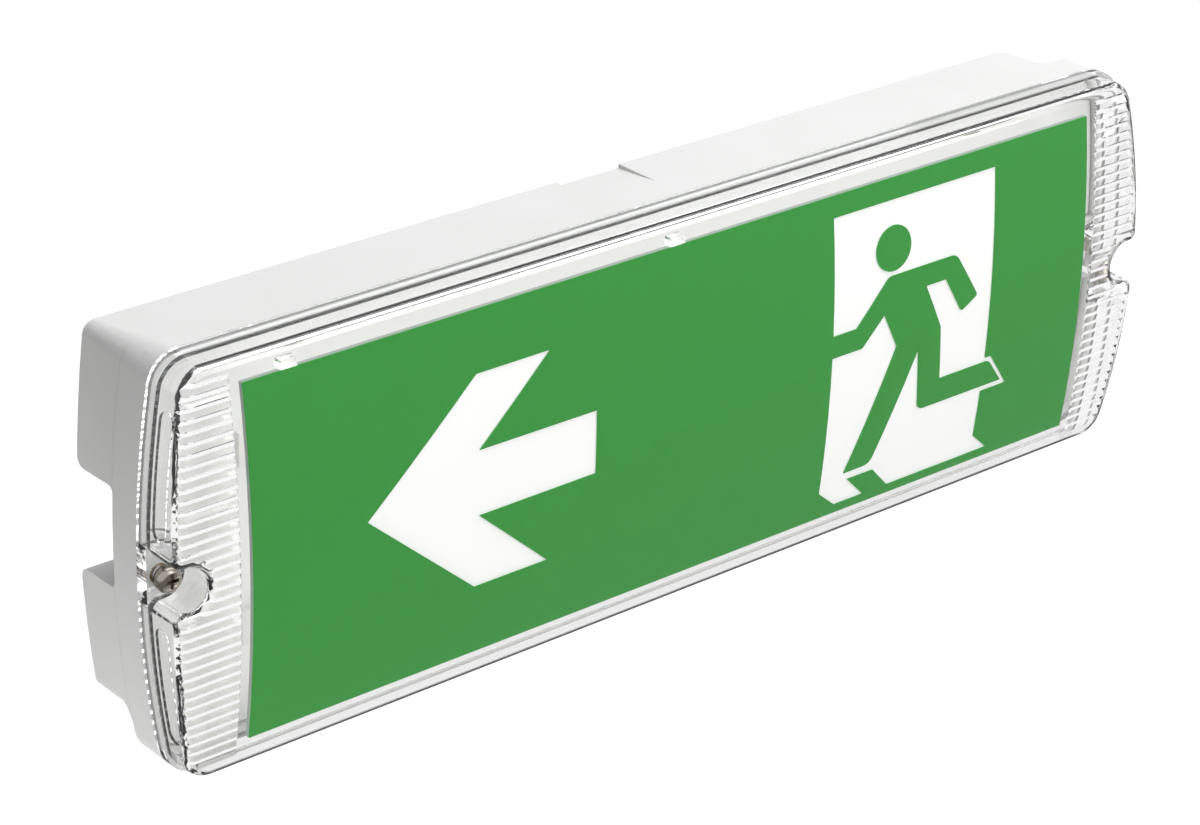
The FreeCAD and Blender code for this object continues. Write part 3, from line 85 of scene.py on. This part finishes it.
def linear(hex_colour):
    """sRGB hex as linear red, green, blue and 1."""
    parts = [int(hex_colour[i:i + 2], 16) / 255 for i in (0, 2, 4)]
    return [p / 12.92 if p <= 0.04045 else ((p + 0.055) / 1.055) ** 2.4 for p in parts] + [1.0]


def finish(name, **settings):
    """New material with one Principled BSDF; settings go on its own sockets."""
    material = bpy.data.materials.new(name)
    material.use_nodes = True
    shader = material.node_tree.nodes["Principled BSDF"]
    for socket, value in settings.items():
        shader.inputs[socket.replace("_", " ")].default_value = value
    return material


def add_node(material, kind, links=(), inputs=(), **settings):
    """Add a node, set its properties and inputs, and link (its output, to node, to input)."""
    node = material.node_tree.nodes.new(kind)
    for name, value in settings.items():
        setattr(node, name, value)
    for socket, value in dict(inputs).items():
        if isinstance(value, bpy.types.NodeSocket):
            material.node_tree.links.new(value, node.inputs[socket])
        else:
            node.inputs[socket].default_value = value
    for output, target in links:
        material.node_tree.links.new(node.outputs[output], target)
    return node


def shader_of(material):
    """The material's Principled BSDF."""
    return material.node_tree.nodes["Principled BSDF"]


def surface_of(material):
    """The Surface socket of the material's output."""
    return material.node_tree.nodes["Material Output"].inputs["Surface"]


def grain(material, size, height, shades=None, cloud=30 * MM):
    """Fine bump with grains of a real size, and a slow drift between two shades of colour."""
    shader = shader_of(material)
    place = add_node(material, "ShaderNodeTexCoord").outputs["Object"]
    fine = add_node(material, "ShaderNodeTexNoise", inputs={
        "Vector": place, "Scale": 1 / size, "Detail": 3.0, "Roughness": 0.55})
    add_node(material, "ShaderNodeBump", [("Normal", shader.inputs["Normal"])], {
        "Height": fine.outputs["Fac"], "Distance": height, "Strength": 0.5})
    if shades:
        slow = add_node(material, "ShaderNodeTexNoise", inputs={
            "Vector": place, "Scale": 1 / cloud, "Detail": 2.0})
        add_node(material, "ShaderNodeMix", [(2, shader.inputs["Base Color"])], {
            0: slow.outputs["Fac"], 6: linear(shades[0]), 7: linear(shades[1])}, data_type="RGBA")
    return material


def merged_copy(name, node, material, angle=30):
    """Copy of a CAD node with its triangles merged and its smooth faces shaded smooth."""
    source = frame["nodes"][node]
    piece = bpy.data.objects.new(name, source.data.copy())
    bpy.context.scene.collection.objects.link(piece)
    bpy.ops.object.select_all(action="DESELECT")
    piece.select_set(True)
    bpy.context.view_layer.objects.active = piece
    bpy.ops.mesh.customdata_custom_splitnormals_clear()
    shape = bmesh.new()
    shape.from_mesh(piece.data)
    bmesh.ops.remove_doubles(shape, verts=shape.verts, dist=MERGE_DISTANCE)
    for face in shape.faces:
        face.smooth = True
    for edge in shape.edges:
        edge.smooth = len(edge.link_faces) == 2 and edge.calc_face_angle() < math.radians(angle)
    shape.to_mesh(piece.data)
    shape.free()
    piece.data.materials.clear()
    piece.data.materials.append(material)
    weigh = piece.modifiers.new("weighted_normals", "WEIGHTED_NORMAL")
    weigh.keep_sharp = True
    bpy.ops.object.modifier_apply(modifier=weigh.name)
    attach(piece, source["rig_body"])
    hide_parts(node)
    return piece


def parting_line(material, depth, left_of, width, height):
    """Fine raised line at one depth in front of the wall, on the left end only."""
    normal = shader_of(material).inputs["Normal"]
    grain_bump = normal.links[0].from_node
    place = add_node(material, "ShaderNodeTexCoord").outputs["Object"]
    axes = add_node(material, "ShaderNodeSeparateXYZ", inputs={"Vector": place})
    off_line = add_node(material, "ShaderNodeMath", operation="ADD", inputs={
        0: axes.outputs["Y"], 1: depth})
    away = add_node(material, "ShaderNodeMath", operation="ABSOLUTE", inputs={0: off_line.outputs[0]})
    ridge = add_node(material, "ShaderNodeMapRange", interpolation_type="SMOOTHSTEP", inputs={
        "Value": away.outputs[0], "From Min": 0.0, "From Max": width, "To Min": 1.0, "To Max": 0.0})
    on_left = add_node(material, "ShaderNodeMath", operation="LESS_THAN", inputs={
        0: axes.outputs["X"], 1: left_of})
    raised = add_node(material, "ShaderNodeMath", operation="MULTIPLY", inputs={
        0: ridge.outputs[0], 1: on_left.outputs[0]})
    add_node(material, "ShaderNodeBump", [("Normal", normal)], {
        "Height": raised.outputs[0], "Distance": height, "Normal": grain_bump.outputs["Normal"]})


housing_plastic = grain(finish("moulded_polycarbonate_grey", Roughness=0.42, IOR=1.58),
                        SPARK_GRAIN, 0.02 * MM, (HOUSING_GREY, HOUSING_SHADE))
parting_line(housing_plastic, PARTING_DEPTH, PARTING_END, PARTING_WIDTH, PARTING_HEIGHT)
merged_copy("housing", "base_housing", housing_plastic)

# ---- Seal -----------------------------------------------------------------------------------
# A closed-cell foam cord in the bottom of the housing's groove, seen dimly through the rim.

foam = grain(finish("closed_cell_foam_grey", Roughness=0.9), 0.6 * MM, 0.1 * MM, ("8E9090", "7C7E7E"))
merged_copy("gasket", "seal_gasket", foam)

# ---- Cover ----------------------------------------------------------------------------------
# Clear polycarbonate with polished faces, injection moulded. It bends what is seen through it,
# and the lamps' light and the light that comes off other faces pass straight through it.

CLEAR_TINT, CLEAR_IOR, POLISHED = "FEFEFE", 1.585, 0.02
COVER_SHARP = 35
BOW_RADIUS, COVER_FRONT = 380 * MM, 1.8 * MM
SEAM_Y, SEAM_GAP = -26.6 * MM, 0.06 * MM
ON_SEAM, ON_BOW = 0.005 * MM, 0.01 * MM


def clear_plastic(name, tint, ior, roughness):
    """Clear plastic that bends what is seen through it and still lets the lamps shine in."""
    material = finish(name, Base_Color=linear(tint), Roughness=roughness, IOR=ior,
                      Transmission_Weight=1.0)
    rays = add_node(material, "ShaderNodeLightPath")
    lamp_or_bounce = add_node(material, "ShaderNodeMath", operation="MAXIMUM", inputs={
        0: rays.outputs["Is Shadow Ray"], 1: rays.outputs["Is Diffuse Ray"]})
    passing = add_node(material, "ShaderNodeBsdfTransparent", inputs={"Color": linear(tint)})
    add_node(material, "ShaderNodeMixShader", [("Shader", surface_of(material))], {
        0: lamp_or_bounce.outputs[0], 1: shader_of(material).outputs[0], 2: passing.outputs[0]})
    return material


def bowed_normals(piece, radii):
    """Give the faces that lie on the bow, at one of these radii, its exact normals."""
    axis_y = cad_box[0].y + BOW_RADIUS
    mesh = piece.data
    normals = [Vector(corner.vector) for corner in mesh.corner_normals]
    for face in mesh.polygons:
        corners = [mesh.vertices[v].co for v in face.vertices]
        spokes = [Vector((0, corner.y - axis_y, corner.z)) for corner in corners]
        for radius in radii:
            if all(abs(spoke.length - radius) < ON_BOW for spoke in spokes):
                facing = math.copysign(1, face.normal.dot(spokes[0]))
                for loop, spoke in zip(face.loop_indices, spokes):
                    normals[loop] = facing * spoke.normalized()
    mesh.normals_split_custom_set(normals)


clear_cover = clear_plastic("moulded_polycarbonate_clear", CLEAR_TINT, CLEAR_IOR, POLISHED)
cover = merged_copy("cover", "diffuser", clear_cover, COVER_SHARP)
for vertex in cover.data.vertices:
    if abs(vertex.co.y - SEAM_Y) < ON_SEAM:
        vertex.co.y -= SEAM_GAP
bowed_normals(cover, (BOW_RADIUS, BOW_RADIUS - COVER_FRONT))

# ---- Legend ---------------------------------------------------------------------------------
# A green film with the arrow and the doorway cut out lies on an opal acrylic sheet that follows
# the cover's bow. The film is cast vinyl with an even colour. Film and sheet both glow by themselves,
# a painted glow that stands in for the light strips behind them, which give no light.

FILM_GREEN, FILM_SHADE = "269530", "25942E"
OPAL_WHITE, PAINTED_RIM_SHADE = "FCFCFB", "A9B5AC"
FILM_PAINTED_GLOW, SHEET_PAINTED_GLOW = 0.2, 0.34
SHEET_END, SHEET_TOP = 154.45 * MM, 51.45 * MM
vinyl = finish("cast_vinyl_green", Roughness=0.5, Specular_IOR_Level=0.1, Emission_Strength=FILM_PAINTED_GLOW,
               Emission_Color=linear(FILM_GREEN))
film = grain(vinyl, 4 * MM, 0.001 * MM, (FILM_GREEN, FILM_SHADE))
merged_copy("film", "legend_film", film)
opal = finish("opal_acrylic", Roughness=0.3, Specular_IOR_Level=0.1, Emission_Color=linear(OPAL_WHITE))
place = add_node(opal, "ShaderNodeTexCoord").outputs["Object"]
axes = add_node(opal, "ShaderNodeSeparateXYZ", inputs={"Vector": place})
# Past the film's outer edge the sheet is painted a darker grey-green and loses its glow: painted shade for
# the dim band beside the legend.
rim_in_painted_shade = []
for axis, limit in (("X", SHEET_END), ("Z", SHEET_TOP)):
    out = add_node(opal, "ShaderNodeMath", operation="ABSOLUTE", inputs={0: axes.outputs[axis]})
    past = add_node(opal, "ShaderNodeMath", operation="GREATER_THAN", inputs={0: out.outputs[0], 1: limit})
    rim_in_painted_shade.append(past.outputs[0])
edge = add_node(opal, "ShaderNodeMath", operation="MAXIMUM", inputs={0: rim_in_painted_shade[0], 1: rim_in_painted_shade[1]})
add_node(opal, "ShaderNodeMix", [(2, shader_of(opal).inputs["Base Color"])], {
    0: edge.outputs[0], 6: linear(OPAL_WHITE), 7: linear(PAINTED_RIM_SHADE)}, data_type="RGBA")
add_node(opal, "ShaderNodeMapRange", [("Result", shader_of(opal).inputs["Emission Strength"])], {
    "Value": edge.outputs[0], "To Min": SHEET_PAINTED_GLOW, "To Max": 0.0})
merged_copy("opal", "legend_sheet", opal)

# ---- Cover screws ---------------------------------------------------------------------------
# Captive M4 pan heads with a cross recess, turned and nickel plated, on black rubber washers.
# They bite into knurled brass inserts set in the housing's rim.

nickel = grain(finish("nickel_plated_steel", Base_Color=linear("A19A91"), Metallic=1.0, Roughness=0.2),
               0.3 * MM, 0.004 * MM)
washer_rubber = grain(finish("moulded_rubber_black", Roughness=0.55), 0.4 * MM, 0.01 * MM,
                      ("1C1C1C", "242424"))
brass = finish("turned_brass", Base_Color=linear("8F7B52"), Metallic=1.0, Roughness=0.4)
for side in ("left", "right"):
    merged_copy(f"screw_{side}", f"cover_screw_{side}", nickel)
merged_copy("screw_washers", "screw_seals", washer_rubber)
merged_copy("inserts", "threaded_inserts", brass)

# ---- Tray and lights ------------------------------------------------------------------------
# A pressed steel tray, powder coated white, closes the housing and carries the light strips.

# The white coat glows faintly by itself: painted light that stands in for the strips lighting the inside of
# the tray.
TRAY_PAINTED_GLOW = 0.06
powder_coat = grain(finish("powder_coated_steel_white", Roughness=0.4, Emission_Color=linear("FFFFFF"),
                           Emission_Strength=TRAY_PAINTED_GLOW), 0.8 * MM, 0.02 * MM, ("F2F3F1", "EDEEEC"))
strip_board = finish("light_strip_board_white", Base_Color=linear("F0F0EC"), Roughness=0.35)
phosphor = finish("silicone_phosphor_yellow", Base_Color=linear("EFD44E"), Roughness=0.3)
nylon = grain(finish("moulded_nylon_white", Roughness=0.45), 0.5 * MM, 0.01 * MM, ("ECEBE4", "E4E3DA"))
merged_copy("tray", "gear_tray", powder_coat)
for strip in ("upper", "lower"):
    merged_copy(f"strip_{strip}", f"led_board_{strip}", strip_board)
merged_copy("chips", "leds", phosphor)
merged_copy("rivets", "board_rivets", nylon)
merged_copy("tray_fixings", "tray_screws", nickel)

# ---- Gear behind the tray -------------------------------------------------------------------
# Battery stick and clips, control board with its pieces, mains terminals and test button.

GEAR = {
    "battery_pack": ("battery_sleeve", "heat_shrink_sleeve_blue", "24507A", "2B5A86", 0.3, 0.0),
    "battery_clips": ("spring_steel", "spring_steel_bright", "A9A9A6", "9C9C99", 0.3, 1.0),
    "control_board": ("board_green", "glass_epoxy_board_green", "1B5A2D", "174E27", 0.4, 0.0),
    "transformer_core": ("core_iron", "ferrite_dark", "333336", "3B3B3E", 0.6, 0.0),
    "transformer_winding": ("winding_tape", "polyester_tape_yellow", "D6B23C", "CCA634", 0.35, 0.0),
    "capacitors": ("capacitor_sleeve", "capacitor_sleeve_dark", "1E1F27", "24252E", 0.35, 0.0),
    "film_capacitor": ("film_box", "potted_box_red", "A8402A", "9E3A26", 0.45, 0.0),
    "control_chip": ("chip_black", "epoxy_chip_black", "17171A", "1C1C1F", 0.5, 0.0),
    "test_switch": ("chip_black", "moulded_nylon_black", "1A1A1C", "202022", 0.45, 0.0),
    "board_connectors": ("white_nylon", "connector_nylon", "E6E4D8", "DEDCCF", 0.45, 0.0),
    "terminal_block": ("terminal_nylon", "terminal_nylon_natural", "D9D8D0", "CFCEC5", 0.45, 0.0),
    "charge_indicator": ("clear_guide", "light_guide_acrylic", "CFE8D4", "C6E0CC", 0.1, 0.0),
    "rear_entry_grommet": ("seal_rubber", "grommet_rubber_black", "1E1E1E", "262626", 0.55, 0.0),
    "side_entry_plug": ("seal_rubber", "plug_rubber_black", "1E1E1E", "262626", 0.55, 0.0),
    "fixing_washers": ("seal_rubber", "washer_rubber_black", "202020", "282828", 0.55, 0.0),
}
for node, (slot, name, colour, shade, roughness, metallic) in GEAR.items():
    gear_finish = grain(finish(name, Roughness=roughness, Metallic=metallic), 0.5 * MM, 0.01 * MM,
                        (colour, shade))
    merged_copy("gear_" + node, node, gear_finish)
for node in ("board_screws", "terminal_screws"):
    merged_copy("gear_" + node, node, nickel)
merged_copy("gear_button", "test_button", nylon)

# ---- Floor ----------------------------------------------------------------------------------
# A wide pale sheet of paper well below the light. The camera sees it lifted to white, mirrored
# faces see it dim, and its underside is clear, so that the light can be looked at from below.

FLOOR_DROP, FLOOR_REACH = 0.35, 6.0
PLAIN_WHITE, MIRRORED_GREY, FLOOR_LIFT = 1.0, 0.3, 0.66
bpy.ops.object.select_all(action="DESELECT")
bpy.ops.mesh.primitive_plane_add(size=FLOOR_REACH, location=(0, 0, -FLOOR_DROP))
floor = bpy.context.object
floor.name = "floor"
paper = finish("studio_paper_white", Base_Color=linear("C4C4C2"), Roughness=0.9)
rays = add_node(paper, "ShaderNodeLightPath")
once = add_node(paper, "ShaderNodeMath", operation="COMPARE", inputs={
    0: rays.outputs["Glossy Depth"], 1: 1.0, 2: 0.5})
through = add_node(paper, "ShaderNodeMath", operation="SUBTRACT", use_clamp=True, inputs={
    0: rays.outputs["Is Transmission Ray"], 1: once.outputs[0]})
bent = add_node(paper, "ShaderNodeMath", operation="MAXIMUM", inputs={
    0: rays.outputs["Is Glossy Ray"], 1: rays.outputs["Is Transmission Ray"]})
glow, shade, lift = (add_node(paper, "ShaderNodeEmission", inputs={"Color": (1, 1, 1, 1), "Strength": level})
                     for level in (PLAIN_WHITE, MIRRORED_GREY, FLOOR_LIFT))
lifted = add_node(paper, "ShaderNodeAddShader", inputs={
    0: shader_of(paper).outputs[0], 1: lift.outputs[0]})
direct = add_node(paper, "ShaderNodeMixShader", inputs={
    0: rays.outputs["Is Camera Ray"], 1: shader_of(paper).outputs[0], 2: lifted.outputs[0]})
mirrored = add_node(paper, "ShaderNodeMixShader", inputs={
    0: bent.outputs[0], 1: direct.outputs[0], 2: shade.outputs[0]})
upper = add_node(paper, "ShaderNodeMixShader", inputs={
    0: through.outputs[0], 1: mirrored.outputs[0], 2: glow.outputs[0]})
side = add_node(paper, "ShaderNodeNewGeometry")
nothing = add_node(paper, "ShaderNodeBsdfTransparent")
add_node(paper, "ShaderNodeMixShader", [("Shader", surface_of(paper))], {
    0: side.outputs["Backfacing"], 1: upper.outputs[0], 2: nothing.outputs[0]})
floor.data.materials.append(paper)

# ---- Studio light ---------------------------------------------------------------------------
# A room that lights the part a dim grey and looks white, a big soft box overhead, one in front
# on the right, and a weak card low on the left that no clear or glossy face shows.

ROOM_LIGHT, ROOM_WHITE = 0.3, 1.0


def soft_box(name, place, target, width, height, watts):
    """Area lamp at a place, turned to a target and hidden from the camera (metres, watts)."""
    lamp = bpy.data.lights.new(name, "AREA")
    lamp.shape = "RECTANGLE"
    lamp.size, lamp.size_y, lamp.energy = width, height, watts
    box = bpy.data.objects.new(name, lamp)
    bpy.context.scene.collection.objects.link(box)
    box.location = place
    box.visible_camera = False
    box.rotation_euler = (Vector(target) - Vector(place)).to_track_quat("-Z", "Y").to_euler()
    return box


soft_box("box_overhead", (0.45, -0.2, 1.4), (0.1, 0, 0), 1.2, 1.2, 20)
soft_box("box_front", (0.9, -1.5, 0.5), (0, 0, 0), 1.0, 1.2, 11)
low_card = soft_box("card_left", (-0.35, -0.05, -0.3), (-0.18, 0, -0.05), 0.25, 0.2, 0.9)
low_card.visible_glossy = False
low_card.visible_transmission = False

room = bpy.data.worlds.new("grey_room")
room.use_nodes = True
bpy.context.scene.world = room
room_light = room.node_tree.nodes["Background"]
room_light.inputs["Color"].default_value = (1, 1, 1, 1)
rays = add_node(room, "ShaderNodeLightPath")
bent = add_node(room, "ShaderNodeMath", operation="MAXIMUM", inputs={
    0: rays.outputs["Is Glossy Ray"], 1: rays.outputs["Is Transmission Ray"]})
seen = add_node(room, "ShaderNodeMath", operation="MAXIMUM", inputs={
    0: bent.outputs[0], 1: rays.outputs["Is Camera Ray"]})
add_node(room, "ShaderNodeMapRange", [("Result", room_light.inputs["Strength"])], {
    "Value": seen.outputs[0], "To Min": ROOM_LIGHT, "To Max": ROOM_WHITE})

# ---- Camera ---------------------------------------------------------------------------------
# A long lens from the upper left of the front, turned a little about its own axis. Clear
# mouldings send light round inside them many times, so its paths are allowed to be long.

AZIMUTH, ELEVATION, ROLL = math.radians(-40.98), math.radians(25.85), math.radians(1.65)
DISTANCE, SHIFT_RIGHT, SHIFT_UP = 1.0517, -2.14 * MM, -15.13 * MM
FOCAL_LENGTH, SENSOR_WIDTH = 109.28, 36.0
BOUNCES = 32
back = Vector((math.sin(AZIMUTH) * math.cos(ELEVATION), -math.cos(AZIMUTH) * math.cos(ELEVATION),
               math.sin(ELEVATION)))
level_right = (-back).cross(Vector((0, 0, 1))).normalized()
level_up = level_right.cross(-back)
right = math.cos(ROLL) * level_right + math.sin(ROLL) * level_up
up = -math.sin(ROLL) * level_right + math.cos(ROLL) * level_up
lens = bpy.data.cameras.new("camera")
lens.lens, lens.sensor_width = FOCAL_LENGTH, SENSOR_WIDTH
camera = bpy.data.objects.new("camera", lens)
bpy.context.scene.collection.objects.link(camera)
turn = Matrix((right, up, back)).transposed()
place = DISTANCE * back + SHIFT_RIGHT * right + SHIFT_UP * up
camera.matrix_world = Matrix.Translation(place) @ turn.to_4x4()
bpy.context.scene.camera = camera
bpy.context.scene.view_settings.view_transform = "Standard"
light_paths = bpy.context.scene.cycles
light_paths.max_bounces = BOUNCES
light_paths.transmission_bounces = BOUNCES
light_paths.glossy_bounces = BOUNCES
